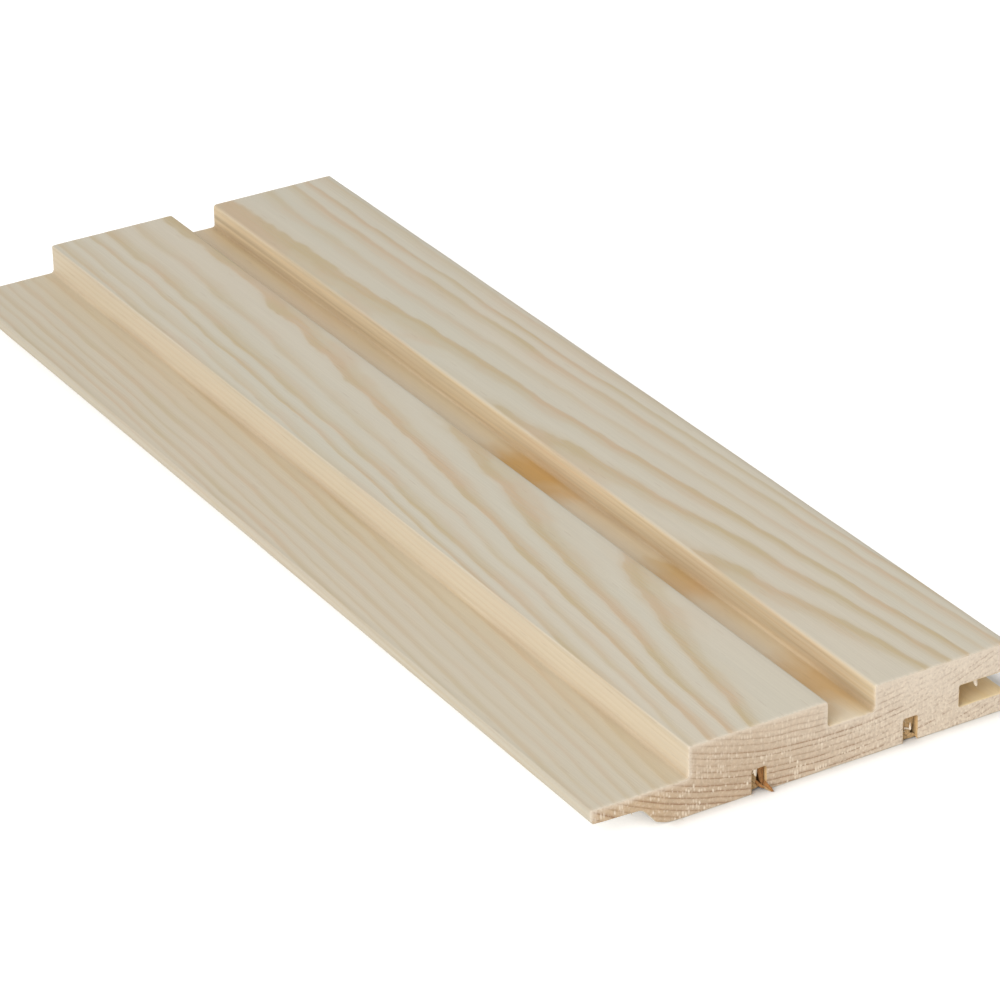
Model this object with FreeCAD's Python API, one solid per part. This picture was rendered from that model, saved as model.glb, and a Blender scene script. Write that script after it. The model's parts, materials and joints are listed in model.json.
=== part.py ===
"""Tongue and groove panel board: one planed length of softwood with a shadow channel down its face.

The section lies in the XZ plane and runs along Y. The show face is up, the tongue points to -X and
the slot opens to +X. The origin is the middle of the underside of the board's box.
"""
import FreeCAD, Part
import math
import os

# Overall sizes, in millimetres
board_length = 270.0
board_thickness = 15.0

# Show face: two equal lands with the shadow channel between them
land_width = 31.4
channel_width = 10.7
channel_depth = 5.6
channel_edge_round = 0.8
channel_corner_round = 0.6
land_edge_round = 0.4

# Tongue: its upper part stays in view as a second shadow gap, its end goes into the next board
tongue_reach = 21.5
tongue_drop = 6.8
tongue_thickness = 3.6
tongue_taper_degrees = 2.5
tongue_engagement = 11.0
tongue_top_round = 0.4
tongue_tip_round = 0.9
step_foot_round = 0.8

# Coved shoulder under the tongue, and the heel that eases it into the back
shoulder_slope_degrees = 50.0
shoulder_cove_round = 2.5
heel_rise = 1.1
heel_run = 2.8
heel_round = 8.0

# Room around a tongue in the slot, beyond its tip, and between a lower lip and the shoulder
slot_side_clearance = 0.5
slot_end_clearance = 0.5
shoulder_clearance = 0.3
slot_corner_round = 0.4
lip_edge_round = 0.4

# Two relief kerfs in the back, placed evenly about its middle
kerf_width = 3.1
kerf_depth = 5.3
kerf_spacing = 34.8
kerf_mouth_round = 0.5
kerf_corner_round = 0.4

# Places across the board
board_width = tongue_reach + 2 * land_width + channel_width
tongue_tip_x = -board_width / 2
slot_edge_x = board_width / 2
step_x = tongue_tip_x + tongue_reach
channel_left_x = step_x + land_width
channel_right_x = channel_left_x + channel_width
slot_back_x = slot_edge_x - tongue_engagement - slot_end_clearance
shoulder_toe_x = tongue_tip_x + tongue_engagement + shoulder_clearance

# Heights above the back
tongue_top_z = board_thickness - tongue_drop
tongue_root_z = tongue_top_z - tongue_thickness
tongue_taper_rise = (shoulder_toe_x - tongue_tip_x) * math.tan(math.radians(tongue_taper_degrees))
tongue_tip_z = tongue_root_z + tongue_taper_rise
channel_floor_z = board_thickness - channel_depth
slot_top_z = tongue_top_z + slot_side_clearance
slot_bottom_z = tongue_root_z - slot_side_clearance

# Where the shoulder meets the heel, and the middle of the back that the kerfs are set out from
shoulder_run = (tongue_root_z - heel_rise) / math.tan(math.radians(shoulder_slope_degrees))
shoulder_foot_x = shoulder_toe_x + shoulder_run
back_middle_x = (shoulder_foot_x + slot_edge_x) / 2


def section_point(x, z):
    """A point of the section, at the board's near end."""
    return FreeCAD.Vector(x, -board_length / 2, z)


def corner_round(before, corner, after, radius):
    """The start, middle and end of the tangent arc that rounds one corner."""
    back = (before - corner).normalize()
    onward = (after - corner).normalize()
    half_angle = back.getAngle(onward) / 2
    tangent_length = radius / math.tan(half_angle)
    middle_offset = radius / math.sin(half_angle) - radius
    middle = corner + (back + onward).normalize() * middle_offset
    return corner + back * tangent_length, middle, corner + onward * tangent_length


def rounded_wire(corners):
    """A closed wire through (x, z, radius) corners; a radius of zero leaves its corner sharp."""
    points = [section_point(x, z) for x, z, radius in corners]
    rounds = []
    for index, corner in enumerate(points):
        before = points[index - 1]
        after = points[(index + 1) % len(points)]
        rounds.append(corner_round(before, corner, after, corners[index][2]))
    edges = []
    for index, (start, middle, end) in enumerate(rounds):
        if corners[index][2] > 0:
            edges.append(Part.Arc(start, middle, end).toShape())
        next_start = rounds[(index + 1) % len(rounds)][0]
        edges.append(Part.LineSegment(end, next_start).toShape())
    return Part.Wire(edges)


def tongue_corners():
    """From the heel on the back, round the tongue, up to the first land."""
    return [
        (shoulder_foot_x + heel_run, 0, heel_round),
        (shoulder_foot_x, heel_rise, 0),
        (shoulder_toe_x, tongue_root_z, shoulder_cove_round),
        (tongue_tip_x, tongue_tip_z, tongue_tip_round),
        (tongue_tip_x, tongue_top_z, tongue_top_round),
        (step_x, tongue_top_z, step_foot_round),
        (step_x, board_thickness, land_edge_round),
    ]


def channel_corners():
    """The shadow channel between the two lands."""
    return [
        (channel_left_x, board_thickness, channel_edge_round),
        (channel_left_x, channel_floor_z, channel_corner_round),
        (channel_right_x, channel_floor_z, channel_corner_round),
        (channel_right_x, board_thickness, channel_edge_round),
    ]


def slot_corners():
    """From the second land, over the upper lip, round the slot and down the lower lip."""
    return [
        (slot_edge_x, board_thickness, land_edge_round),
        (slot_edge_x, slot_top_z, lip_edge_round),
        (slot_back_x, slot_top_z, slot_corner_round),
        (slot_back_x, slot_bottom_z, slot_corner_round),
        (slot_edge_x, slot_bottom_z, lip_edge_round),
        (slot_edge_x, 0, lip_edge_round),
    ]


def kerf_corners(middle_x):
    """One relief kerf, going from right to left along the back."""
    right = middle_x + kerf_width / 2
    left = middle_x - kerf_width / 2
    return [
        (right, 0, kerf_mouth_round),
        (right, kerf_depth, kerf_corner_round),
        (left, kerf_depth, kerf_corner_round),
        (left, 0, kerf_mouth_round),
    ]


def make_board():
    """The whole board: its section, carried along its length."""
    corners = tongue_corners() + channel_corners() + slot_corners()
    for side in (1, -1):
        corners += kerf_corners(back_middle_x + side * kerf_spacing / 2)
    section = Part.Face(rounded_wire(corners))
    return section.extrude(FreeCAD.Vector(0, board_length, 0))


os.makedirs("parts", exist_ok=True)
make_board().exportStep("parts/tongue_and_groove_board.step")
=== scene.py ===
"""Dressed tongue and groove board: planed pine with its growth rings, sawn ends and torn fibres.

Lengths are in metres. Values whose names end in _MM, and places in the grain, are in millimetres.
"""
import json
import math

import bpy
import numpy as np
from mathutils import Matrix, Vector, geometry, noise


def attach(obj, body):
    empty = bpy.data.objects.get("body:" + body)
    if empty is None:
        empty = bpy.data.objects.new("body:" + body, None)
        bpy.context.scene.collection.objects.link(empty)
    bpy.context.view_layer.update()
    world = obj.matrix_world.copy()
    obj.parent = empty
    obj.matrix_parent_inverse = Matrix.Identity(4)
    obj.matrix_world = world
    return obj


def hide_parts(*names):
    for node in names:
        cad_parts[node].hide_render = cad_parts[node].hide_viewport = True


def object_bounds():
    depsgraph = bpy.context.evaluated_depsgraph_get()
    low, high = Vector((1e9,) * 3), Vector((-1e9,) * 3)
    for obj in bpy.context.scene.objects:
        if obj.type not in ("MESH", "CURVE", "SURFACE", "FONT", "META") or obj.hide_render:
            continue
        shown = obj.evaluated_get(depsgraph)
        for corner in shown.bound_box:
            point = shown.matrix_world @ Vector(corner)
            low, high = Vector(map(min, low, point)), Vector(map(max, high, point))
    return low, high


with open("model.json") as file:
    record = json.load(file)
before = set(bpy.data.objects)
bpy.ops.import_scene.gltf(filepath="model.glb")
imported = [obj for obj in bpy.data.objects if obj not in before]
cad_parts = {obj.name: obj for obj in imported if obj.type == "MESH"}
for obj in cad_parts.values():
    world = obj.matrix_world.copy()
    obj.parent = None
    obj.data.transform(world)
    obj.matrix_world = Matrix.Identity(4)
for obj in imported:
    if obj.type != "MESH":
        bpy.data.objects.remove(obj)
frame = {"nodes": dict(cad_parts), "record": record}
cad_low, cad_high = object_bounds()

BOARD = "tongue_and_groove_board"
MM = 0.001

# Mesh of the board; the scatter and the clearance of the points on its ends are shares of their grid
TOUCHING = 0.01 * MM
OUTLINE_STEP = 1.2 * MM
STATION_STEP = 2.4 * MM
END_GRID = 0.42 * MM
GRID_SCATTER = 0.3
GRID_CLEARANCE = 0.6
SMOOTH_ANGLE = math.radians(35)

# Wear of the planed edges and of the sawn ends
EDGE_REACH = 0.5 * MM
EDGE_WEAR = 0.09 * MM
EDGE_WAVE = 14 * MM
END_EASING = (0.1 * MM, 0.27 * MM)
END_WAVE = 3 * MM
RIM_WIDTH = 1.0 * MM
SAW_RELIEF = 0.05 * MM
SCRATCH_WIDTH = 0.8 * MM
SCRATCH_HEIGHT = 4 * MM
TORN_SPOT = 1.6 * MM

# Reach of the painted shade in inner corners, of an opening's colour beyond its box, and the widest kerf
CORNER_REACH = 0.3 * MM
OPENING_MARGIN = 0.6 * MM
WIDEST_KERF = 4 * MM

# Fine fibres along the lower edges of the sawn ends
FUZZ_COUNT = 45
FUZZ_ROOT_MM = 0.3
FUZZ_LEAN = 0.4
FUZZ_REACH_MM = (0.5, 1.2)
FUZZ_LIFT_MM = (-0.05, 0.25)
FUZZ_WIDTH_MM = (0.06, 0.14)
FUZZ_THICKNESS_MM = 0.05
FUZZ_LOWEST_MM = 0.1

# Slivers torn loose at the near end: colour; root, bend and tip; width, thickness and lay.
# A place is counted across from the middle of the kerf or the back of the slot, in from the end, and up.
SLIVER_STEPS = 6
SIDEWAYS = (1, 0, 0)
LENGTHWISE = (0, 1, 0)
UPRIGHT = (0, 0, 1)
LEFT_KERF_SLIVERS_MM = (
    ("pale", (-0.72, 0.3, 5.4), (-0.82, 0.2, 4.6), (-0.62, 0.1, 3.6), 1.1, 0.3, SIDEWAYS),
    ("tan", (1.08, 1.0, 0.9), (1.38, -0.6, 0.7), (1.98, -1.4, 0.3), 0.9, 0.5, UPRIGHT),
    # A flat tan flap across the kerf's floor, standing in for the shadowed ground seen through its mouth:
    # painted shade
    ("tan", (-1.72, 1.3, 1.3), (-0.92, 1.2, 1.2), (0.68, 1.0, 0.9), 2.4, 0.5, UPRIGHT),
    # A tan sheet at the back of the kerf, standing in for its shaded inside: painted shade
    ("tan", (-0.52, 1.4, 5.3), (-0.52, 1.2, 3.4), (-0.32, 1.0, 1.6), 2.0, 0.4, SIDEWAYS),
    ("brown", (1.38, 3.0, 1.6), (1.18, -0.6, 1.3), (2.28, -1.8, 0.4), 2.4, 0.8, UPRIGHT),
    ("brown", (-0.32, 3.0, 2.2), (-0.12, 0.5, 1.7), (0.88, -0.6, 1.0), 1.6, 0.7, UPRIGHT),
    # A brown sheet over the kerf's right wall, giving it the colour of its shade: painted shade
    ("brown", (0.68, 0.7, 5.3), (0.68, 0.5, 3.6), (0.98, 0.3, 1.2), 1.7, 0.5, SIDEWAYS),
)
RIGHT_KERF_SLIVERS_MM = (
    ("pale", (-1.12, 0.5, 3.1), (-0.42, 0.4, 2.8), (0.38, 0.3, 2.5), 0.6, 0.5, LENGTHWISE),
    ("pale", (0.18, 0.3, 2.5), (0.23, 0.4, 3.2), (0.28, 0.5, 4.0), 0.6, 0.4, SIDEWAYS),
    # A flat tan strip across the kerf's floor, standing in for the shadowed ground seen through its mouth:
    # painted shade
    ("tan", (-1.72, 1.1, 1.1), (-0.12, 0.9, 1.0), (1.88, 0.5, 0.7), 2.0, 0.4, UPRIGHT),
    # A tan sheet at the back of the kerf, standing in for its shaded inside: painted shade
    ("tan", (-0.02, 1.0, 5.3), (0.08, 0.8, 3.0), (-0.22, 0.7, 1.0), 3.0, 0.4, SIDEWAYS),
)
SLOT_SLIVERS_MM = (
    ("pale", (3.7, 0.6, 8.8), (3.8, 0.5, 7.9), (4.1, 0.4, 7.0), 1.2, 0.3, SIDEWAYS),
)

# Growth rings: the pith runs along the board, above its show face, and dips towards the near end
PITH_X_MM = 10.5
PITH_DRIFT = 0.016
PITH_HEIGHT_MM = 108.0
PITH_RISE = 0.0165
PITH_BOW_PER_MM = 0.00006
FIRST_RING_MM = 93.33
RING_WIDTH_MM = 1.32

# Tufts of torn fibre along the growth rings of a sawn end
TUFT_SPACING_MM = 0.6
TUFT_ROWS_PER_RING = 1.1

# Darkness across one growth ring on a planed face and on a sawn end: place in the ring, darkness
PLANED_RING = (
    (0.0, 0.35), (0.07, 0.1), (0.2, 0.0), (0.42, 0.1),
    (0.65, 0.55), (0.84, 1.0), (0.94, 0.9), (1.0, 0.35),
)
SAWN_RING = (
    (0.0, 0.5), (0.07, 0.12), (0.3, 0.0), (0.6, 0.08),
    (0.82, 0.4), (0.93, 1.0), (1.0, 0.5),
)

# Amber stains along the channel: place, half-length and strength
STAINS_MM = ((-14.0, 17.0, 1.0), (-71.0, 13.0, 0.55), (-119.0, 16.0, 0.7))

# Stretches over which a colour comes in: across the sawn ends, up them, by the step, in from the near end
SLOT_SIDE_MM = (0.0, 26.0)
PALE_SIDE_MM = (-15.0, 26.0)
TONGUE_SIDE_MM = (-26.0, -34.0)
# Up the sawn ends their wood grows paler, as painted light, and their ring lines fainter
UPPER_PART_MM = (4.0, 13.0)
STEP_STRIP_MM = 10.0
# In from the near end the channel's floor has painted light and its walls' foot painted shade
OPEN_END_MM = (22.0, 2.0)

# Colours as they show in even light; the side, recess, corner, kerf and slot colours below also carry painted
# light and shade
EARLYWOOD = (206, 199, 181)
LATEWOOD = (195, 177, 142)
PINK_LATEWOOD = (201, 178, 148)
WARM_EARLYWOOD = (213, 200, 180)
# Painted warm light on upright side faces and painted bounce light on faces lower than the show face
WARM_LIT_WOOD = (209, 192, 165)
# A warm tint: painted bounce light in the channel; also the golden strip by the step and the golden end by
# the tongue
RECESS_TINT = (255, 247, 232)
# Painted shade in inner corners that lie out of the light
CORNER_SHADE_BROWN = (140, 105, 60)
# Painted shade inside the kerfs, and painted bounce light inside the slot
KERF_SHADE_TAN = (200, 162, 106)
SLOT_LIGHT_GOLD = (240, 214, 164)
AMBER = (197, 155, 91)
END_EARLYWOOD = (203, 180, 153)
# Pale end wood of the torn rims and towards the slot, and painted light up the sawn ends
PALE_END = (232, 217, 198)
END_LATEWOOD = (158, 125, 98)
PALE_FIBRE = (241, 226, 205)
TAN_FIBRE = (202, 168, 122)
RESIN_SPECK = (156, 126, 100)
BROWN_SPLINTER = (162, 114, 68)
FLOOR_PALE = (232, 231, 228)

# Depth of the fine relief on the board and on loose fibre
WOOD_BUMP = 0.15 * MM
FIBRE_BUMP = 0.05 * MM

# Camera at the photograph's viewing angle
CAMERA_AZIMUTH = math.radians(-30.27)
CAMERA_ELEVATION = math.radians(27.51)
CAMERA_ROLL = math.radians(1.31)
CAMERA_DISTANCE = 947 * MM
CAMERA_AIM = Vector((2.3, -19.2, 8.0)) * MM
CAMERA_LENS = 163.6
CAMERA_CLIP = 50 * MM

# Soft studio light
WORLD_STRENGTH = 0.6
KEY_PLACE = Vector((-1.07, -0.64, 0.70))
KEY_SIZE = 1.1
KEY_POWER = 15.7

# Floor: beyond the board and its shadow it glows, by its share of the fade
FLOOR_SIZE = 12.0
FLOOR_FADE = 600 * MM
SHADOW_REACH = 5 * MM
FLOOR_GLOW = ((0.0, 0.0), (0.004, 0.3), (0.014, 0.55), (1.0, 0.8))


def linear(colour):
    """A colour written as 0 to 255, as linear RGBA."""
    return [((c / 255 + 0.055) / 1.055) ** 2.4 for c in colour] + [1.0]


# Section of the board

def section_outline(node):
    """The section as a loop of (x, z) points, read from the near end of the board's solid."""
    links = {}
    for polygon in node.data.polygons:
        corners = [node.data.vertices[index].co for index in polygon.vertices]
        on_end = [(round(c.x, 7), round(c.z, 7)) for c in corners if c.y < cad_low.y + TOUCHING]
        if len(on_end) == 2:
            links.setdefault(on_end[0], []).append(on_end[1])
            links.setdefault(on_end[1], []).append(on_end[0])
    start = min(links)
    loop = [start]
    previous, current = start, links[start][0]
    while current != start:
        loop.append(current)
        onward = [point for point in links[current] if point != previous]
        previous, current = current, onward[0]
    loop = np.array(loop)
    doubled_area = cross(loop, np.roll(loop, -1, axis=0)).sum()
    return loop if doubled_area > 0 else loop[::-1]


def divided(loop, step):
    """The loop with its long straight runs divided into even steps."""
    points = []
    for start, end in zip(loop, np.roll(loop, -1, axis=0)):
        count = math.ceil(np.linalg.norm(end - start) / step)
        points.extend(start + (end - start) * k / count for k in range(count))
    return np.array(points)


def outward_normals(loop):
    """Unit normals of a loop's points, pointing out of the wood."""
    run = np.roll(loop, -1, axis=0) - loop
    run /= np.linalg.norm(run, axis=1)[:, None]
    edge_normals = np.stack([run[:, 1], -run[:, 0]], axis=1)
    normals = edge_normals + np.roll(edge_normals, 1, axis=0)
    return normals / np.linalg.norm(normals, axis=1)[:, None]


def corner_nearness(loop, side, reach):
    """How near each point lies to outer corners (side 1) or inner ones (side -1): 1 at a square one."""
    run = np.roll(loop, -1, axis=0) - loop
    length = np.linalg.norm(run, axis=1)
    heading = np.arctan2(run[:, 1], run[:, 0])
    turn = (heading - np.roll(heading, 1) + math.pi) % (2 * math.pi) - math.pi
    place = np.cumsum(length) - length
    apart = np.abs(place[:, None] - place[None, :])
    apart = np.minimum(apart, length.sum() - apart)
    nearness = np.exp(-((apart / reach) ** 2) / 2)
    return np.clip(nearness @ np.maximum(side * turn, 0) / (math.pi / 2), 0, 1)


def cross(a, b):
    """The cross product of vectors in a plane."""
    return a[..., 0] * b[..., 1] - a[..., 1] * b[..., 0]


def blocked(loop, normals, outlook, reach):
    """Which points of the loop meet wood, within a reach, when they look out in a direction."""
    outlook = np.broadcast_to(outlook, loop.shape)[:, None]
    run = (np.roll(loop, -1, axis=0) - loop)[None]
    apart = loop[None] - (loop + normals * TOUCHING)[:, None]
    slant = cross(outlook, run)
    slant = np.where(np.abs(slant) < 1e-12, 1e-12, slant)
    distance = cross(apart, run) / slant
    along = cross(apart, outlook) / slant
    return ((distance > 0) & (distance < reach) & (along >= 0) & (along <= 1)).any(axis=1)


def opening_box(name):
    """The low and high corner of an opening that the record states."""
    boxes = [row["box_m"] for row in frame["record"]["physics"]["openings"] if row["name"] == name]
    return np.array(boxes[0])


def within_opening(loop, name):
    """1 on the walls and rounded edges of an opening, fading to 0 just outside them."""
    low, high = opening_box(name)[:, [0, 2]]
    outside = np.maximum(np.maximum(low - loop, loop - high), 0)
    return np.clip(2 - 2 * np.linalg.norm(outside, axis=1) / OPENING_MARGIN, 0, 1)


def within_kerf(loop, normals):
    """1 inside the narrow kerfs, where wood lies close by on both sides, and 0 elsewhere."""
    to_right = blocked(loop, normals, (1, 0), WIDEST_KERF)
    to_left = blocked(loop, normals, (-1, 0), WIDEST_KERF)
    return (to_right & to_left).astype(float)


def kerf_middles(loop):
    """The middles of the left and the right kerf, across the board."""
    x = loop[within_kerf(loop, outward_normals(loop)) > 0, 0]
    kerfs = (x[x < x.mean()], x[x > x.mean()])
    return [(kerf.min() + kerf.max()) / 2 for kerf in kerfs]


# Mesh

def station_places():
    """Places along the board: close together where the ends are eased, even in between."""
    least, most = END_EASING
    close = [0, 0.15 * least, 0.5 * least, least, most, RIM_WIDTH]
    length = cad_high.y - cad_low.y
    count = round((length - 2 * close[-1]) / STATION_STEP)
    even = np.linspace(close[-1], length - close[-1], count + 1)
    places = np.concatenate([close[:-1], even, length - np.array(close[-2::-1])])
    return places + cad_low.y


def from_nearer_end(place):
    """How far a place along the board lies from the nearer end."""
    return min(place - cad_low.y, cad_high.y - place)


def wavy(*coordinates):
    """A smooth random value from 0 to 1 at a place."""
    return 0.5 + 0.5 * noise.noise(Vector(coordinates))


def end_inset(point, place):
    """How far the rounded edge of the nearer sawn end draws the section in."""
    from_end = from_nearer_end(place)
    side = 1 if place > 0 else -1
    least, most = END_EASING
    radius = least + (most - least) * wavy(point[0] / END_WAVE, side * 5.3, point[1] / END_WAVE)
    if from_end >= radius:
        return 0.0
    return radius - math.sqrt(radius ** 2 - (radius - from_end) ** 2)


def edge_wear(exposure, point, place):
    """How far handling has worn an outer edge back."""
    return exposure * EDGE_WEAR * wavy(point[0] / EDGE_WAVE, place / EDGE_WAVE, point[1] / EDGE_WAVE)


def inside(points, loop):
    """Which points lie inside the loop."""
    x, z = points[:, 0, None], points[:, 1, None]
    start, end = loop, np.roll(loop, -1, axis=0)
    spans = (start[:, 1] > z) != (end[:, 1] > z)
    rise = np.where(end[:, 1] == start[:, 1], 1.0, end[:, 1] - start[:, 1])
    crossing = start[:, 0] + (z - start[:, 1]) / rise * (end[:, 0] - start[:, 0])
    return (spans & (x < crossing)).sum(axis=1) % 2 == 1


def edge_gap(points, loop, chosen):
    """How far each point lies from the chosen steps of the loop."""
    run = (np.roll(loop, -1, axis=0) - loop)[chosen]
    apart = points[:, None] - loop[chosen][None]
    along = np.clip((apart * run).sum(axis=2) / (run ** 2).sum(axis=1), 0, 1)
    return np.linalg.norm(apart - along[..., None] * run, axis=2).min(axis=1)


def end_points(loop, seed):
    """Loosely spaced points over one sawn end, clear of its edge."""
    low, high = loop.min(axis=0), loop.max(axis=0)
    grid = np.meshgrid(np.arange(low[0], high[0], END_GRID), np.arange(low[1], high[1], END_GRID))
    points = np.stack(grid, axis=-1).reshape(-1, 2)
    scatter = np.random.RandomState(seed).uniform(-GRID_SCATTER, GRID_SCATTER, points.shape)
    points += scatter * END_GRID
    points = points[inside(points, loop)]
    whole_loop = np.full(len(loop), True)
    return points[edge_gap(points, loop, whole_loop) > GRID_CLEARANCE * END_GRID]


def end_faces(loop, points):
    """Triangles over a sawn end, numbered with the loop's points first."""
    corners = [Vector(p) for p in np.concatenate([loop, points])]
    edges = [(k, (k + 1) % len(loop)) for k in range(len(loop))]
    made = geometry.delaunay_2d_cdt(corners, edges, [], 1, 1e-9)
    faces, sources = made[2], made[3]
    return [[sources[index][0] for index in face] for face in faces]


def saw_relief(x, z, side):
    """Height of the saw's roughness on an end: fine upright scratches and torn spots."""
    scratch = noise.noise(Vector((x / SCRATCH_WIDTH, side * 3.1, z / SCRATCH_HEIGHT)))
    torn = noise.noise(Vector((x / TORN_SPOT, side * 7.7, z / TORN_SPOT)))
    return SAW_RELIEF * (0.6 * scratch + 0.8 * torn)


def planed_sides(loop, places, exposure, rimmed):
    """Vertices, faces and rim values of the planed surface: one ring of vertices at each place."""
    normals = outward_normals(loop)
    count = len(loop)
    vertices, faces, rims = [], [], []
    for place in places:
        for point, normal, exposed in zip(loop, normals, exposure):
            drawn_in = edge_wear(exposed, point, place) + end_inset(point, place)
            x, z = point - normal * drawn_in
            vertices.append((x, place, z))
        rims.extend(rimmed * max(0, 1 - 2 * from_nearer_end(place) / RIM_WIDTH))
    for station in range(len(places) - 1):
        here = station * count
        ahead = here + count
        for k in range(count):
            after = (k + 1) % count
            faces.append((here + k, ahead + k, ahead + after, here + after))
    return vertices, faces, rims


def add_sawn_end(vertices, faces, rims, rimmed, first, side):
    """Closes the ring of vertices that starts at first: the near end (side -1) or the far one (side 1)."""
    count = len(rimmed)
    ring = np.array([(v[0], v[2]) for v in vertices[first:first + count]])
    points = end_points(ring, seed=11 + side)
    base = len(vertices)
    place = vertices[first][1]
    vertices.extend((x, place + saw_relief(x, z, side), z) for x, z in points)
    rims.extend(np.maximum(0, 1 - edge_gap(points, ring, rimmed) / RIM_WIDTH))
    for face in end_faces(ring, points):
        numbered = [first + index if index < count else base + index - count for index in face]
        faces.append(numbered if side < 0 else numbered[::-1])


def add_attribute(mesh, name, values):
    """A value at each vertex that the materials can read."""
    attribute = mesh.attributes.new(name, "FLOAT", "POINT")
    attribute.data.foreach_set("value", np.asarray(values, dtype=np.float32))


def make_board_mesh(loop):
    """The board's whole surface: planed sides in slot 0, sawn ends in slot 1."""
    normals = outward_normals(loop)
    exposure = corner_nearness(loop, 1, EDGE_REACH)
    kerf = within_kerf(loop, normals)
    slot = within_opening(loop, "edge_slot")
    rimmed = (normals[:, 1] > -0.3) & (kerf + slot < 0.1)
    places = station_places()
    vertices, faces, rims = planed_sides(loop, places, exposure, rimmed)
    side_vertices, side_faces = len(vertices), len(faces)
    add_sawn_end(vertices, faces, rims, rimmed, 0, -1)
    add_sawn_end(vertices, faces, rims, rimmed, side_vertices - len(loop), 1)
    mesh = bpy.data.meshes.new("dressed_board")
    mesh.from_pydata(vertices, [], faces)
    slots = np.zeros(len(faces), dtype=np.int32)
    slots[side_faces:] = 1
    mesh.polygons.foreach_set("material_index", slots)
    add_attribute(mesh, "rim", rims)
    on_ends = np.zeros(len(vertices) - side_vertices)
    for name, values in (
        ("edge", exposure),
        ("corner", corner_nearness(loop, -1, CORNER_REACH)),
        ("channel", within_opening(loop, "face_channel")),
        ("tongue_top", within_opening(loop, "upper_lip_rebate")),
        ("slot", slot),
        ("kerf", kerf),
    ):
        add_attribute(mesh, name, np.concatenate([np.tile(values, len(places)), on_ends]))
    mesh.shade_smooth()
    mesh.set_sharp_from_angle(angle=SMOOTH_ANGLE)
    return mesh


# Torn fibres

def sliver(root, bend, tip, width, thickness, across):
    """A flat sliver of wood, bent from its full root to its rounded tip, in millimetres."""
    root, bend, tip = [Vector(p) * MM for p in (root, bend, tip)]
    shares = [k / SLIVER_STEPS for k in range(SLIVER_STEPS + 1)]
    path = [root * (1 - t) ** 2 + bend * 2 * t * (1 - t) + tip * t ** 2 for t in shares]
    across = Vector(across).normalized()
    vertices, faces = [], []
    last = len(path) - 1
    for k, point in enumerate(path[:-1]):
        heading = (path[k + 1] - path[max(k - 1, 0)]).normalized()
        out = heading.cross(across).normalized()
        fullness = math.sqrt(1 - k / last)
        half_width = across * (width * MM / 2 * fullness)
        half_thickness = out * (thickness * MM / 2 * fullness)
        vertices += [point - half_width, point - half_thickness, point + half_width, point + half_thickness]
    for k in range(last - 1):
        for j in range(4):
            a, b = 4 * k + j, 4 * k + (j + 1) % 4
            faces.append((a, b, b + 4, a + 4))
    end = len(vertices)
    vertices.append(path[-1])
    faces.append((3, 2, 1, 0))
    for j in range(4):
        faces.append((end - 4 + j, end - 4 + (j + 1) % 4, end))
    return vertices, faces


def torn_slivers(loop):
    """The slivers at the kerfs and in the slot, listed by colour."""
    left_kerf, right_kerf = kerf_middles(loop)
    slot_back = opening_box("edge_slot")[0][0]
    slivers = {"pale": [], "tan": [], "brown": []}
    for start_x, rows in (
        (left_kerf, LEFT_KERF_SLIVERS_MM),
        (right_kerf, RIGHT_KERF_SLIVERS_MM),
        (slot_back, SLOT_SLIVERS_MM),
    ):
        origin = Vector((start_x, cad_low.y, 0)) / MM
        for colour, root, bend, tip, width, thickness, lay in rows:
            places = [origin + Vector(place) for place in (root, bend, tip)]
            slivers[colour].append(sliver(*places, width, thickness, lay))
    return slivers


def edge_fuzz(loop, side):
    """Fine fibres that stand out from the lower edges of one sawn end."""
    normals = outward_normals(loop)
    chance = np.random.RandomState(31 + side)
    low_edges = np.flatnonzero(normals[:, 1] < 0.3)
    end = (cad_low.y if side < 0 else cad_high.y) / MM
    fibres = []
    for k in chance.choice(low_edges, FUZZ_COUNT):
        root = Vector((loop[k][0] / MM, end - side * FUZZ_ROOT_MM, loop[k][1] / MM))
        lean = Vector(chance.uniform(-FUZZ_LEAN, FUZZ_LEAN, 3)) + Vector((0, side, 0))
        reach = chance.uniform(*FUZZ_REACH_MM)
        bend = root + lean * reach * 0.6
        tip = root + lean * reach + Vector((0, 0, chance.uniform(*FUZZ_LIFT_MM)))
        for point in (root, bend, tip):
            point.z = max(point.z, FUZZ_LOWEST_MM)
        width = chance.uniform(*FUZZ_WIDTH_MM)
        fibres.append(sliver(root, bend, tip, width, FUZZ_THICKNESS_MM, SIDEWAYS))
    return fibres


def joined(name, slivers):
    """One mesh made of several slivers."""
    vertices, faces = [], []
    for more_vertices, more_faces in slivers:
        base = len(vertices)
        vertices += more_vertices
        faces += [tuple(base + index for index in face) for face in more_faces]
    mesh = bpy.data.meshes.new(name)
    mesh.from_pydata([tuple(v) for v in vertices], [], faces)
    return mesh


# Materials

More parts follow.
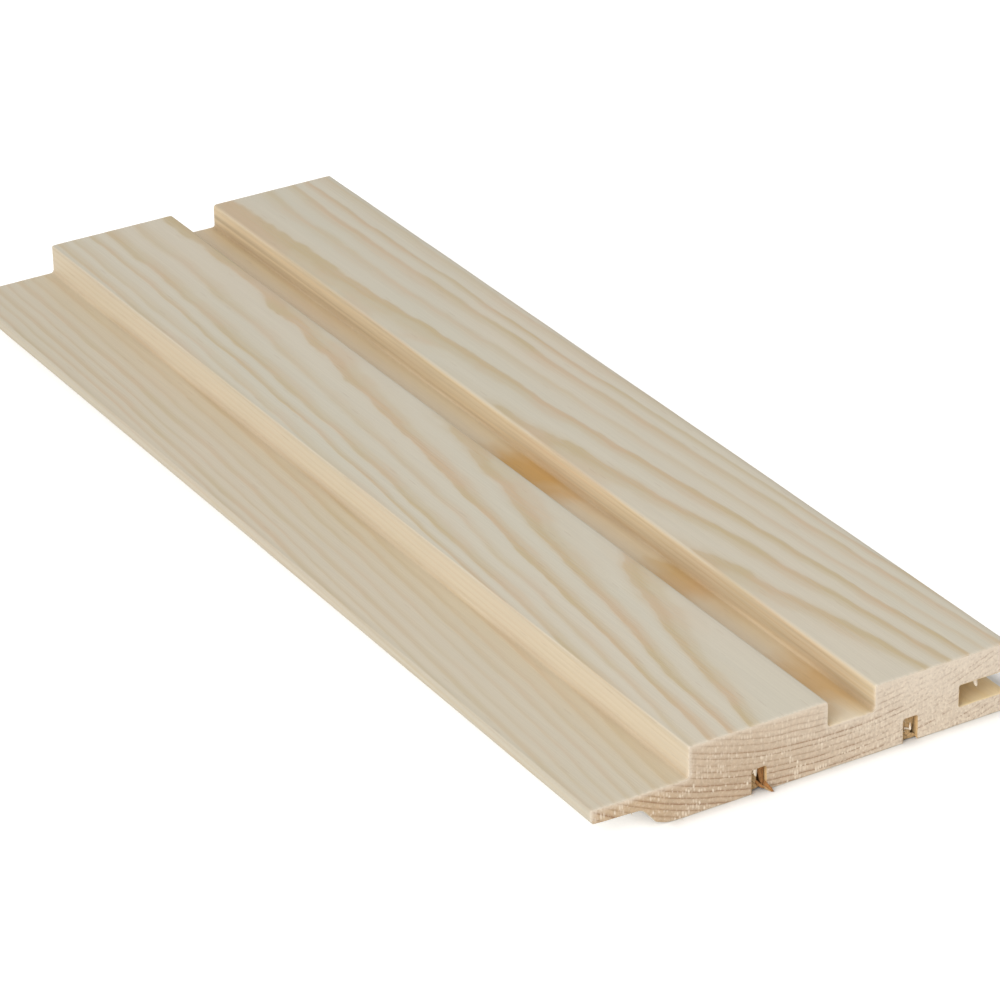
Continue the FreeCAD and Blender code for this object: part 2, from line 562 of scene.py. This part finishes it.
class NodeSheet:
    """Short ways to add and link the nodes of one material."""

    def __init__(self, tree):
        self.tree = tree
        tree.nodes.clear()

    def add(self, kind, inputs=(), **settings):
        """A new node with its settings made and its inputs set or linked."""
        node = self.tree.nodes.new(kind)
        for name, value in settings.items():
            setattr(node, name, value)
        for key, value in dict(inputs).items():
            self.put(node.inputs[key], value)
        return node

    def put(self, socket, value):
        """Links another node's output to a socket, or sets the socket to a plain value."""
        if isinstance(value, bpy.types.NodeSocket):
            self.tree.links.new(value, socket)
        else:
            socket.default_value = value

    def math(self, operation, *values, clamp=False):
        """The result of one operation on values."""
        node = self.add("ShaderNodeMath", enumerate(values), operation=operation, use_clamp=clamp)
        return node.outputs[0]

    def product(self, first, *others):
        """All the values multiplied together."""
        for other in others:
            first = self.math("MULTIPLY", first, other)
        return first

    def between(self, factor, low, high):
        """The factor, 0 to 1, stretched to run from low to high."""
        return self.math("MULTIPLY_ADD", factor, high - low, low)

    def rise(self, value, start, end):
        """0 up to the start, 1 from the end on, and even in between."""
        share = 1 / (end - start)
        return self.math("MULTIPLY_ADD", value, share, -start * share, clamp=True)

    def noise(self, place, detail=2.0):
        """A soft random pattern, 0 to 1, about one unit of the place across."""
        inputs = {"Vector": place, "Scale": 1.0, "Detail": detail}
        return self.add("ShaderNodeTexNoise", inputs).outputs["Fac"]

    def spots(self, place, radius):
        """1 within a radius of scattered points, 0 elsewhere."""
        cells = self.add("ShaderNodeTexVoronoi", {"Vector": place, "Scale": 1.0})
        return self.math("LESS_THAN", cells.outputs["Distance"], radius)

    def random(self, number):
        """A random value, 0 to 1, for each whole number."""
        node = self.add("ShaderNodeTexWhiteNoise", {"W": number}, noise_dimensions="1D")
        return node.outputs["Value"]

    def ramp(self, factor, stops):
        """A smooth curve through (place, value) stops."""
        node = self.add("ShaderNodeValToRGB", {"Fac": factor})
        elements = node.color_ramp.elements
        node.color_ramp.interpolation = "EASE"
        while len(elements) < len(stops):
            elements.new(1.0)
        for element, (place, value) in zip(elements, stops):
            element.position = place
            element.color = (value, value, value, 1)
        return node.outputs["Color"]

    def mix(self, factor, a, b, blend_type="MIX"):
        """Colour a, changed to colour b by a factor."""
        node = self.add("ShaderNodeMix", data_type="RGBA", blend_type=blend_type)
        self.put(node.inputs["Factor"], factor)
        self.put(node.inputs[6], a)
        self.put(node.inputs[7], b)
        return node.outputs[2]

    def shade(self, colour, amount):
        """A colour made darker or lighter by an amount around 1."""
        node = self.add("ShaderNodeVectorMath", {0: colour, "Scale": amount}, operation="SCALE")
        return node.outputs[0]

    def attribute(self, name):
        """A value that the mesh holds at its vertices."""
        return self.add("ShaderNodeAttribute", attribute_name=name).outputs["Fac"]

    def shown_ray(self):
        """1 on the rays that show the stage: straight from the camera, or by way of gloss or glass."""
        path = self.add("ShaderNodeLightPath").outputs
        shown = self.math("MAXIMUM", path["Is Camera Ray"], path["Is Glossy Ray"])
        return self.math("MAXIMUM", shown, path["Is Transmission Ray"])


class WoodPlace:
    """Places inside the wood, in millimetres, for one material's nodes."""

    def __init__(self, sheet):
        self.sheet = sheet
        coordinates = sheet.add("ShaderNodeTexCoord").outputs["Object"]
        split = sheet.add("ShaderNodeSeparateXYZ", {0: coordinates})
        self.x, self.y, self.z = [sheet.math("MULTIPLY", output, 1 / MM) for output in split.outputs]

    def place(self, per_x, per_y, per_z):
        """A texture place with its own fineness across, along and through the board."""
        parts = zip((self.x, self.y, self.z), (per_x, per_y, per_z))
        scaled = [self.sheet.math("MULTIPLY", part, per_mm) for part, per_mm in parts]
        return self.sheet.add("ShaderNodeCombineXYZ", enumerate(scaled)).outputs[0]


class Grain(WoodPlace):
    """Places inside the wood, with the growth ring that each lies in."""

    def __init__(self, sheet):
        super().__init__(sheet)
        self.ring = self.ring_number()
        self.phase = sheet.math("FRACT", self.ring)
        self.year = sheet.math("FLOOR", self.ring)

    def ring_number(self):
        """Growth rings counted from one that crosses the show face, growing away from the pith."""
        do = self.sheet.math
        pith_x = do("MULTIPLY_ADD", self.y, PITH_DRIFT, PITH_X_MM)
        bow = do("MULTIPLY_ADD", self.y, -PITH_BOW_PER_MM, PITH_RISE)
        pith_z = do("MULTIPLY_ADD", self.y, bow, PITH_HEIGHT_MM)
        across = do("POWER", do("SUBTRACT", self.x, pith_x), 2.0)
        down = do("POWER", do("SUBTRACT", self.z, pith_z), 2.0)
        radius = do("SQRT", do("ADD", across, down))
        slow = self.sheet.noise(self.place(0.03, 0.009, 0.03), detail=1.0)
        quick = self.sheet.noise(self.place(0.12, 0.05, 0.12), detail=3.0)
        radius = do("ADD", radius, self.sheet.between(slow, -0.15, 0.15))
        radius = do("ADD", radius, self.sheet.between(quick, -0.4, 0.4))
        along_radius = self.sheet.add("ShaderNodeCombineXYZ", {0: do("MULTIPLY", radius, 0.6)}).outputs[0]
        uneven = self.sheet.between(self.sheet.noise(along_radius, detail=1.0), -0.7, 0.7)
        outer = self.sheet.rise(radius, FIRST_RING_MM + 1.5, FIRST_RING_MM + 5.0)
        radius = do("MULTIPLY_ADD", uneven, outer, radius)
        return do("DIVIDE", do("SUBTRACT", radius, FIRST_RING_MM), RING_WIDTH_MM)


def new_material(name):
    """An empty material, and the sheet that its nodes go on."""
    material = bpy.data.materials.new(name)
    material.use_nodes = True
    return material, NodeSheet(material.node_tree)


def finish_material(sheet, colour, roughness, height, bump_strength, bump_distance, specular):
    """The shader, with its bump, at the end of a wood material."""
    bump_inputs = {"Height": height, "Strength": bump_strength, "Distance": bump_distance}
    bump = sheet.add("ShaderNodeBump", bump_inputs)
    inputs = {
        "Base Color": colour,
        "Roughness": roughness,
        "Specular IOR Level": specular,
        "Normal": bump.outputs["Normal"],
    }
    shader = sheet.add("ShaderNodeBsdfPrincipled", inputs)
    sheet.add("ShaderNodeOutputMaterial", {"Surface": shader.outputs[0]})


def growth_bands(sheet, grain, upright):
    """Soft growth bands: plainest on the innermost rings, fainter on the tongue and on upright faces."""
    tongue_top = sheet.attribute("tongue_top")
    clearness = sheet.product(sheet.between(upright, 1.0, 0.45), sheet.between(tongue_top, 1.0, 0.72))
    strength = sheet.between(sheet.random(grain.year), 0.55, 1.0)
    fading = sheet.rise(sheet.noise(grain.place(0.08, 0.02, 0.08)), 0.35, 0.65)
    strength = sheet.product(strength, sheet.between(fading, 0.7, 1.0))
    innermost = sheet.math("LESS_THAN", grain.year, 1.0)
    strength = sheet.math("MAXIMUM", strength, innermost)
    grown = sheet.rise(grain.ring, -1.9, -1.7)
    return sheet.product(sheet.ramp(grain.phase, PLANED_RING), strength, grown, clearness)


def planed_colour(sheet, grain, upright, late):
    """Early wood from grey to warm, with its bands of late wood, painted warm light on sides and lower faces,
    and painted shade on the outermost sides.
    """
    drift = sheet.rise(sheet.noise(grain.place(0.05, 0.012, 0.05), detail=1.0), 0.3, 0.7)
    colour = sheet.mix(sheet.product(drift, 0.5), linear(EARLYWOOD), linear(WARM_EARLYWOOD))
    # Painted shade: the outermost side faces are darker
    outer_side_shade = sheet.rise(sheet.math("ABSOLUTE", grain.x), cad_high.x / MM - 2.0, cad_high.x / MM - 0.5)
    # Painted warm light on upright side faces, less on the outermost ones
    side = sheet.product(upright, sheet.between(outer_side_shade, 0.6, 0.1))
    # Painted warm bounce light on faces that lie lower than the show face
    lower_face_bounce = sheet.product(sheet.rise(grain.z, cad_high.z / MM - 1.0, cad_high.z / MM - 5.0), 0.25)
    colour = sheet.mix(sheet.math("MAXIMUM", side, lower_face_bounce), colour, linear(WARM_LIT_WOOD))
    pinkness = sheet.rise(sheet.noise(grain.place(0.12, 0.05, 0.12)), 0.4, 0.6)
    colour = sheet.mix(late, colour, sheet.mix(pinkness, linear(LATEWOOD), linear(PINK_LATEWOOD)))
    return sheet.shade(colour, sheet.between(sheet.product(outer_side_shade, upright), 1.0, 0.89))


def tongue_colour(sheet, grain, colour):
    """The tongue's upper face: a little darker as painted shade, with a golden strip at the foot of the step.
    """
    tongue_top = sheet.attribute("tongue_top")
    step = opening_box("upper_lip_rebate")[1][0] / MM
    step_foot = sheet.product(tongue_top, sheet.rise(grain.x, step - STEP_STRIP_MM, step), 0.55)
    colour = sheet.mix(step_foot, colour, linear(RECESS_TINT), blend_type="MULTIPLY")
    # Painted shade: the tongue's upper face a little darker
    return sheet.shade(colour, sheet.between(tongue_top, 1.0, 0.97))


def amber_stains(sheet, grain):
    """Soft stretches of the channel where resin has stained the wood."""
    wander = sheet.between(sheet.noise(grain.place(0.25, 0.1, 0.25)), -8.0, 8.0)
    along = sheet.math("ADD", grain.y, wander)
    stained = 0.0
    for place, half_length, strength in STAINS_MM:
        apart = sheet.math("ABSOLUTE", sheet.math("SUBTRACT", along, place))
        stain = sheet.product(sheet.rise(apart, half_length, 0.2 * half_length), strength)
        stained = sheet.math("MAXIMUM", stained, stain)
    return stained


def near_end(sheet, grain):
    """1 at the near end of the board, fading to 0 further in."""
    inner, outer = OPEN_END_MM
    return sheet.rise(grain.y, cad_low.y / MM + inner, cad_low.y / MM + outer)


def open_channel(sheet, grain):
    """1 on the left of the channel at the near end, where it lies open to the light, fading to 0."""
    left, right = opening_box("face_channel")[:, 0] / MM
    return sheet.product(sheet.attribute("channel"), near_end(sheet, grain), sheet.rise(grain.x, right, left))


def channel_colour(sheet, grain, colour, upright):
    """Golden wood in the channel, a tint of painted bounce light, with amber stains on its floor and streaks
    on its walls; painted shade by the walls, and painted light and shade by the open near end.
    """
    channel = sheet.attribute("channel")
    floor = sheet.product(channel, sheet.math("SUBTRACT", 1.0, upright))
    wall = sheet.product(channel, upright)
    wall_foot = sheet.product(wall, sheet.rise(grain.z, cad_high.z / MM - 3.0, cad_high.z / MM - 5.5))
    # Painted bounce light: a warm tint over the channel's floor and walls
    bounce_tint = sheet.product(channel, sheet.between(upright, 1.0, 0.8))
    colour = sheet.mix(bounce_tint, colour, linear(RECESS_TINT), blend_type="MULTIPLY")
    # Painted shade: the floor paler in its middle, darker by the walls
    left, right = opening_box("face_channel")[:, 0] / MM
    from_middle = sheet.math("ABSOLUTE", sheet.math("SUBTRACT", grain.x, (left + right) / 2))
    pale = sheet.rise(from_middle, 0.42 * (right - left), 0.1 * (right - left))
    colour = sheet.mix(sheet.product(floor, pale, 0.5), colour, linear(WARM_EARLYWOOD))
    amber = sheet.math("MULTIPLY_ADD", wall_foot, 0.15, floor)
    colour = sheet.mix(sheet.product(amber_stains(sheet, grain), amber, 0.9), colour, linear(AMBER))
    # Painted light on the floor's open near end; painted light at the walls' foot further in, and painted
    # shade there by the near end
    painted_floor_light = sheet.product(floor, sheet.between(open_channel(sheet, grain), 0.08, 0.3))
    foot_light_and_shade = sheet.product(wall_foot, sheet.between(near_end(sheet, grain), 0.1, -0.18))
    colour = sheet.shade(colour, sheet.math("ADD", sheet.math("ADD", painted_floor_light, foot_light_and_shade), 1.0))
    streak = sheet.rise(sheet.noise(grain.place(0.9, 0.012, 0.9), detail=4.0), 0.3, 0.7)
    return sheet.shade(colour, sheet.math("MULTIPLY_ADD", wall, sheet.between(streak, -0.16, 0.12), 1.0))


def recess_colour(sheet, grain, colour):
    """Gold in the slot as painted bounce light, tan in the kerfs as painted shade, and brown painted shade in
    inner corners that lie out of the light.
    """
    # Painted bounce light in the slot and painted shade in the kerfs
    colour = sheet.mix(sheet.product(sheet.attribute("slot"), 0.7), colour, linear(SLOT_LIGHT_GOLD))
    colour = sheet.mix(sheet.product(sheet.attribute("kerf"), 0.8), colour, linear(KERF_SHADE_TAN))
    # Painted shade in inner corners, uneven, and less where the channel lies open at the near end
    uneven = sheet.rise(sheet.noise(grain.place(0.1, 0.03, 0.1)), 0.35, 0.65)
    corner_shade = sheet.product(sheet.attribute("corner"), sheet.between(uneven, 0.3, 0.65))
    corner_shade = sheet.product(corner_shade, sheet.between(open_channel(sheet, grain), 1.0, 0.2))
    return sheet.mix(corner_shade, colour, linear(CORNER_SHADE_BROWN))


def surface_marks(sheet, grain, colour, fibre, torn):
    """Painted shade on the rounded outer edges, fine fibres and resin dashes, and a pale torn rim at the
    ends.
    """
    # Painted shade: rounded outer edges a little darker, except in the channel
    edge = sheet.product(sheet.attribute("edge"), sheet.math("SUBTRACT", 1.0, sheet.attribute("channel")))
    colour = sheet.shade(colour, sheet.between(edge, 1.0, 0.91))
    colour = sheet.shade(colour, sheet.between(fibre, 0.92, 1.08))
    dash = sheet.spots(grain.place(0.7, 0.06, 0.7), 0.1)
    colour = sheet.mix(sheet.product(dash, 0.13), colour, linear(RESIN_SPECK))
    rim = sheet.product(sheet.attribute("rim"), sheet.rise(torn, 0.3, 0.6), 0.6)
    return sheet.mix(rim, colour, linear(PALE_END))


def planed_pine():
    """Planed faces: soft tan growth bands and fine fibres, golden in the recesses as painted bounce light and
    shade, and pale at the ends.
    """
    material, sheet = new_material("planed_pine")
    grain = Grain(sheet)
    normal = sheet.add("ShaderNodeNewGeometry").outputs["Normal"]
    upright = sheet.math("ABSOLUTE", sheet.add("ShaderNodeSeparateXYZ", {0: normal}).outputs[0])
    fibre = sheet.noise(grain.place(3.5, 0.05, 3.5), detail=4.0)
    torn = sheet.noise(grain.place(1.2, 0.6, 1.2), detail=3.0)
    late = sheet.product(growth_bands(sheet, grain, upright), sheet.between(fibre, 0.5, 1.5))
    colour = planed_colour(sheet, grain, upright, late)
    colour = tongue_colour(sheet, grain, colour)
    colour = channel_colour(sheet, grain, colour, upright)
    colour = recess_colour(sheet, grain, colour)
    colour = surface_marks(sheet, grain, colour, fibre, torn)
    roughness = sheet.between(fibre, 0.48, 0.7)
    ripple = sheet.math("SINE", sheet.math("MULTIPLY_ADD", grain.y, 3.9, sheet.product(torn, 3.0)))
    height = sheet.math("ADD", fibre, sheet.product(late, 0.6))
    height = sheet.math("ADD", height, sheet.product(ripple, 0.05))
    finish_material(sheet, colour, roughness, height, 0.25, WOOD_BUMP, specular=0.3)
    return material


def ring_lines(sheet, grain, slot_side):
    """Thin dark lines where the sawn end cuts the growth rings, broken in places and faint by the slot."""
    strength = sheet.between(sheet.random(grain.year), 0.5, 1.0)
    whole = sheet.noise(grain.place(0.35, 0.1, 0.8), detail=3.0)
    whole = sheet.rise(sheet.math("MULTIPLY_ADD", slot_side, -0.28, whole), 0.15, 0.4)
    return sheet.product(sheet.ramp(grain.phase, SAWN_RING), strength, whole)


def torn_tufts(sheet, grain):
    """Pale tufts of torn fibre, in short uneven rows along the growth rings."""
    across = sheet.math("MULTIPLY", grain.x, 1 / TUFT_SPACING_MM)
    outwards = sheet.math("MULTIPLY", grain.ring, TUFT_ROWS_PER_RING)
    place = sheet.add("ShaderNodeCombineXYZ", {0: across, 1: outwards}).outputs[0]
    inputs = {"Vector": place, "Scale": 1.0, "Randomness": 0.75}
    cells = sheet.add("ShaderNodeTexVoronoi", inputs, voronoi_dimensions="2D")
    luck = sheet.add("ShaderNodeSeparateColor", {0: cells.outputs["Color"]})
    group = sheet.noise(grain.place(0.22, 0.05, 0.5), detail=3.0)
    shown = sheet.rise(sheet.math("MULTIPLY_ADD", group, 4.0, luck.outputs[0]), 2.6, 2.9)
    tuft = sheet.rise(cells.outputs["Distance"], 0.52, 0.2)
    return sheet.product(tuft, shown, sheet.between(luck.outputs[1], 0.3, 0.8))


def end_colour(sheet, grain, slot_side, clearness):
    """The sawn end's wood: paler by the slot and, as painted light, by the show face; golden by the tongue,
    with its ring lines.
    """
    across = sheet.product(sheet.rise(grain.x, *PALE_SIDE_MM), 0.7)
    # Painted light: the end grows paler up towards the show face
    paleness = sheet.math("MULTIPLY_ADD", sheet.rise(grain.z, *UPPER_PART_MM), 0.25, across)
    colour = sheet.mix(paleness, linear(END_EARLYWOOD), linear(PALE_END))
    lines = sheet.product(ring_lines(sheet, grain, slot_side), clearness)
    colour = sheet.mix(lines, colour, linear(END_LATEWOOD))
    golden = sheet.product(sheet.rise(grain.x, *TONGUE_SIDE_MM), 0.6)
    return sheet.mix(golden, colour, linear(RECESS_TINT), blend_type="MULTIPLY")


def sawn_end_grain():
    """Sawn ends: dark lines and pale tufts by the tongue, paler and speckled by the slot, with a pale rim."""
    material, sheet = new_material("sawn_end_grain")
    grain = Grain(sheet)
    slot_side = sheet.rise(grain.x, *SLOT_SIDE_MM)
    clearness = sheet.between(sheet.rise(grain.z, *UPPER_PART_MM), 1.2, 0.65)
    colour = end_colour(sheet, grain, slot_side, clearness)
    mottle = sheet.noise(grain.place(1.4, 0.3, 1.4), detail=5.0)
    colour = sheet.shade(colour, sheet.between(mottle, 0.84, 1.16))
    scratch = sheet.noise(grain.place(2.4, 0.3, 0.12), detail=2.0)
    colour = sheet.shade(colour, sheet.between(scratch, 0.95, 1.05))
    speckle = sheet.noise(grain.place(1.9, 0.2, 1.7), detail=3.0)
    pale_fleck = sheet.product(sheet.rise(speckle, 0.53, 0.63), sheet.between(slot_side, 0.2, 0.75))
    dark_fleck = sheet.product(sheet.rise(speckle, 0.44, 0.28), sheet.between(slot_side, 0.1, 0.35))
    tufts = sheet.product(torn_tufts(sheet, grain), clearness)
    pale = sheet.math("MAXIMUM", pale_fleck, tufts)
    colour = sheet.mix(pale, colour, linear(PALE_FIBRE))
    colour = sheet.mix(dark_fleck, colour, linear(RESIN_SPECK))
    rim = sheet.product(sheet.attribute("rim"), sheet.rise(mottle, 0.2, 0.45), 0.8)
    colour = sheet.mix(rim, colour, linear(PALE_END))
    height = sheet.math("ADD", mottle, sheet.product(pale, 0.4))
    finish_material(sheet, colour, 0.85, height, 0.25, WOOD_BUMP, specular=0.15)
    return material


def loose_fibre(name, colour):
    """A torn sliver, streaked along its length."""
    material, sheet = new_material(name)
    wood = WoodPlace(sheet)
    streak = sheet.rise(sheet.noise(wood.place(3.0, 0.3, 2.0), detail=3.0), 0.3, 0.6)
    darker = [0.78 * c for c in colour]
    mixed = sheet.mix(streak, linear(darker), linear(colour))
    finish_material(sheet, mixed, 0.8, streak, 0.3, FIBRE_BUMP, specular=0.15)
    return material


def pale_floor(loop):
    """The floor's material: pale by the board, where it keeps the shadow, and white in the open."""
    material, sheet = new_material("pale_floor")
    resting = loop[loop[:, 1] < TOUCHING]
    rest_low = (resting[:, 0].min(), cad_low.y)
    rest_high = (resting[:, 0].max(), cad_high.y)
    split = sheet.add("ShaderNodeSeparateXYZ", {0: sheet.add("ShaderNodeTexCoord").outputs["Object"]})
    beyond = []
    for output, low, high in zip(split.outputs, rest_low, rest_high):
        before = sheet.math("SUBTRACT", low, output)
        after = sheet.math("SUBTRACT", output, high + SHADOW_REACH)
        outside = sheet.math("MAXIMUM", sheet.math("MAXIMUM", before, after), 0.0)
        beyond.append(sheet.math("POWER", outside, 2.0))
    distance = sheet.math("SQRT", sheet.math("ADD", beyond[0], beyond[1]))
    lift = sheet.ramp(sheet.product(distance, 1 / FLOOR_FADE), FLOOR_GLOW)
    glow = sheet.add("ShaderNodeEmission", {"Strength": sheet.product(lift, sheet.shown_ray())})
    matt = sheet.add("ShaderNodeBsdfDiffuse", {"Color": linear(FLOOR_PALE)})
    both = sheet.add("ShaderNodeAddShader", {0: glow.outputs[0], 1: matt.outputs[0]})
    sheet.add("ShaderNodeOutputMaterial", {"Surface": both.outputs[0]})
    return material


# Pieces

def add_piece(mesh, *materials):
    """A piece of the board with its materials, riding on its body."""
    for material in materials:
        mesh.materials.append(material)
    piece = bpy.data.objects.new(mesh.name, mesh)
    bpy.context.scene.collection.objects.link(piece)
    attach(piece, "root")
    return piece


def add_board(loop):
    """The dressed board, standing for the plain solid."""
    board = add_piece(make_board_mesh(loop), planed_pine(), sawn_end_grain())
    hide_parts(BOARD)


def add_splinters(loop):
    """Slivers and fine fibres that the saw and the cutters left hanging at the ends."""
    slivers = torn_slivers(loop)
    slivers["pale"] += edge_fuzz(loop, -1) + edge_fuzz(loop, 1)
    for shade, colour in (("pale", PALE_FIBRE), ("tan", TAN_FIBRE), ("brown", BROWN_SPLINTER)):
        name = shade + "_splinters"
        add_piece(joined(name, slivers[shade]), loose_fibre(name, colour))


# Stage

def add_floor(loop):
    """The floor that the board lies on."""
    bpy.ops.mesh.primitive_plane_add(size=FLOOR_SIZE)
    floor = bpy.context.object
    floor.name = "floor"
    floor.data.materials.append(pale_floor(loop))


def add_light():
    """Even light from all round, with one large soft lamp at the front left."""
    world = bpy.data.worlds.new("studio")
    bpy.context.scene.world = world
    world.use_nodes = True
    sheet = NodeSheet(world.node_tree)
    strength = sheet.between(sheet.shown_ray(), WORLD_STRENGTH, 1.0)
    background = sheet.add("ShaderNodeBackground", {"Color": (1, 1, 1, 1), "Strength": strength})
    sheet.add("ShaderNodeOutputWorld", {"Surface": background.outputs[0]})
    lamp = bpy.data.lights.new("key", "AREA")
    lamp.size = KEY_SIZE
    lamp.energy = KEY_POWER
    key = bpy.data.objects.new("key", lamp)
    key.location = KEY_PLACE
    key.rotation_mode = "QUATERNION"
    key.rotation_quaternion = (-KEY_PLACE).to_track_quat("-Z", "Y")
    bpy.context.scene.collection.objects.link(key)


def add_camera():
    """The photograph's camera."""
    level = math.cos(CAMERA_ELEVATION)
    forward = Vector((
        -math.sin(CAMERA_AZIMUTH) * level,
        math.cos(CAMERA_AZIMUTH) * level,
        -math.sin(CAMERA_ELEVATION),
    ))
    right = forward.cross(Vector((0, 0, 1))).normalized()
    right.rotate(Matrix.Rotation(CAMERA_ROLL, 3, forward))
    up = right.cross(forward)
    place = CAMERA_AIM - forward * CAMERA_DISTANCE
    camera = bpy.data.objects.new("camera", bpy.data.cameras.new("camera"))
    camera.data.lens = CAMERA_LENS
    camera.data.clip_start = CAMERA_CLIP
    axes = Matrix((right, up, -forward)).transposed()
    camera.matrix_world = Matrix.Translation(place) @ axes.to_4x4()
    bpy.context.scene.collection.objects.link(camera)
    bpy.context.scene.camera = camera


outline = divided(section_outline(frame["nodes"][BOARD]), OUTLINE_STEP)
add_board(outline)
add_splinters(outline)
add_floor(outline)
add_light()
add_camera()
bpy.context.scene.view_settings.view_transform = "Standard"
